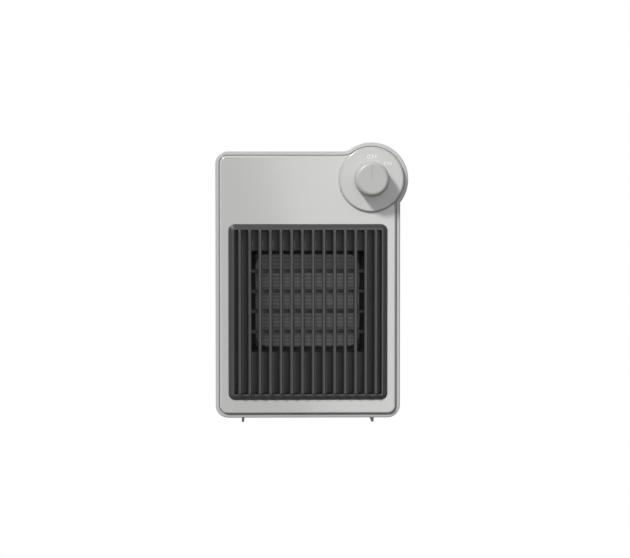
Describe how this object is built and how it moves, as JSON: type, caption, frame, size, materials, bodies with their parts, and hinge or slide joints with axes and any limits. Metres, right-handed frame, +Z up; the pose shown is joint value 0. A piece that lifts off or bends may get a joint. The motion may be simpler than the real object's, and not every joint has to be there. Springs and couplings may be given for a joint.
{
  "type": "fan convector heater",
  "caption": "Compact upright fan heater: light casing, dark barred outlet grille, raised round dial with a turning knob, thin skid feet and a rear air intake.",
  "frame": {"origin": "on the floor plane under the middle of the whole object's box", "axes": "+Z up, the outlet grille and dial face -Y, +X to the right seen from the front"},
  "size_m": [0.193, 0.146, 0.281],
  "materials": {
    "aluminium": "mill finish",
    "box_plastic": "glass-filled PBT, matt",
    "cap_plastic": "PPS end cap, matt",
    "coil_tape": "polyester winding tape",
    "cutout_steel": "nickel-plated can",
    "duct_plastic": "moulded heat-resistant plastic, matt",
    "foot_plastic": "moulded plastic, satin",
    "gland_plastic": "dark moulded nylon",
    "grille_plastic": "moulded flame-retardant PP, satin",
    "ground_steel": "ground steel",
    "guard_steel": "steel wire, dark coating",
    "impeller_plastic": "moulded glass-filled nylon",
    "knob_abs": "moulded ABS, satin",
    "lamination_steel": "stacked laminations, dull",
    "light_abs": "moulded ABS, fine spark texture",
    "rotor_aluminium": "turned rotor",
    "screw_steel": "zinc-plated steel",
    "sintered_bronze": "oil-filled sintered bronze",
    "switch_plastic": "black glass-filled nylon",
    "terminal_brass": "stamped, tin-bright edge",
    "terminal_plastic": "natural polyamide",
    "wire_black": "silicone insulation",
    "wire_blue": "silicone insulation",
    "wire_brown": "silicone insulation",
    "wire_white": "glass braid insulation",
    "zinc_steel": "zinc-plated pressed steel"
  },
  "bodies": {
    "heater": {"casing": "light_abs", "cord_gland": "gland_plastic", "cover_screws": "screw_steel", "dial_plate": "light_abs", "element_cap_left": "cap_plastic", "element_cap_right": "cap_plastic", "element_rails": "aluminium", "element_terminals": "terminal_brass", "fan_shroud": "box_plastic", "fin_row_1": "aluminium", "fin_row_2": "aluminium", "fin_row_3": "aluminium", "fin_row_4": "aluminium", "fin_row_5": "aluminium", "foot_left": "foot_plastic", "foot_right": "foot_plastic", "front_bush": "sintered_bronze", "front_grille": "grille_plastic", "front_panel": "light_abs", "front_strap": "zinc_steel", "guard_mesh": "guard_steel", "heater_bar_1": "aluminium", "heater_bar_2": "aluminium", "heater_bar_3": "aluminium", "heater_bar_4": "aluminium", "heater_box": "box_plastic", "motor_bolts": "screw_steel", "motor_coil": "coil_tape", "motor_spider": "zinc_steel", "motor_stator": "lamination_steel", "outlet_duct": "duct_plastic", "panel_screws": "screw_steel", "rear_bush": "sintered_bronze", "rear_cover": "light_abs", "rear_strap": "zinc_steel", "rotary_switch": "switch_plastic", "spider_screws": "screw_steel", "stack_screws": "screw_steel", "switch_nut": "screw_steel", "terminal_block": "terminal_plastic", "terminal_screws": "screw_steel", "thermal_cutout": "cutout_steel", "thermal_fuse": "cutout_steel", "tip_spring": "screw_steel", "tip_switch": "switch_plastic", "tip_switch_screws": "screw_steel", "wire_cutout": "wire_black", "wire_element": "wire_black", "wire_fuse": "wire_black", "wire_live": "wire_brown", "wire_motor_live": "wire_white", "wire_motor_neutral": "wire_white", "wire_neutral": "wire_blue", "wire_switched": "wire_black"},
    "knob_body": {"knob": "knob_abs", "switch_shaft": "switch_plastic"},
    "fan": {"impeller": "impeller_plastic", "motor_shaft": "ground_steel", "motor_rotor": "rotor_aluminium"},
    "plunger": {"tip_plunger": "switch_plastic"}
  },
  "joints": [
    {"name": "knob_turn", "type": "hinge", "parent": "heater", "child": "knob_body", "pos_m": [0.0595, -0.0535, 0.244], "axis": [0, 1, 0], "range_deg": [0, 45]},
    {"name": "fan_spin", "type": "hinge", "parent": "heater", "child": "fan", "pos_m": [-0.004, 0.022, 0.1217], "axis": [0, 1, 0], "continuous": true},
    {"name": "tip_slide", "type": "slide", "parent": "heater", "child": "plunger", "axis": [0, 0, -1], "range_m": [-0.0005, 0.004], "stiffness_N_per_m": 100, "springref_m": 0.008, "deforming": ["tip_spring"]}
  ]
}
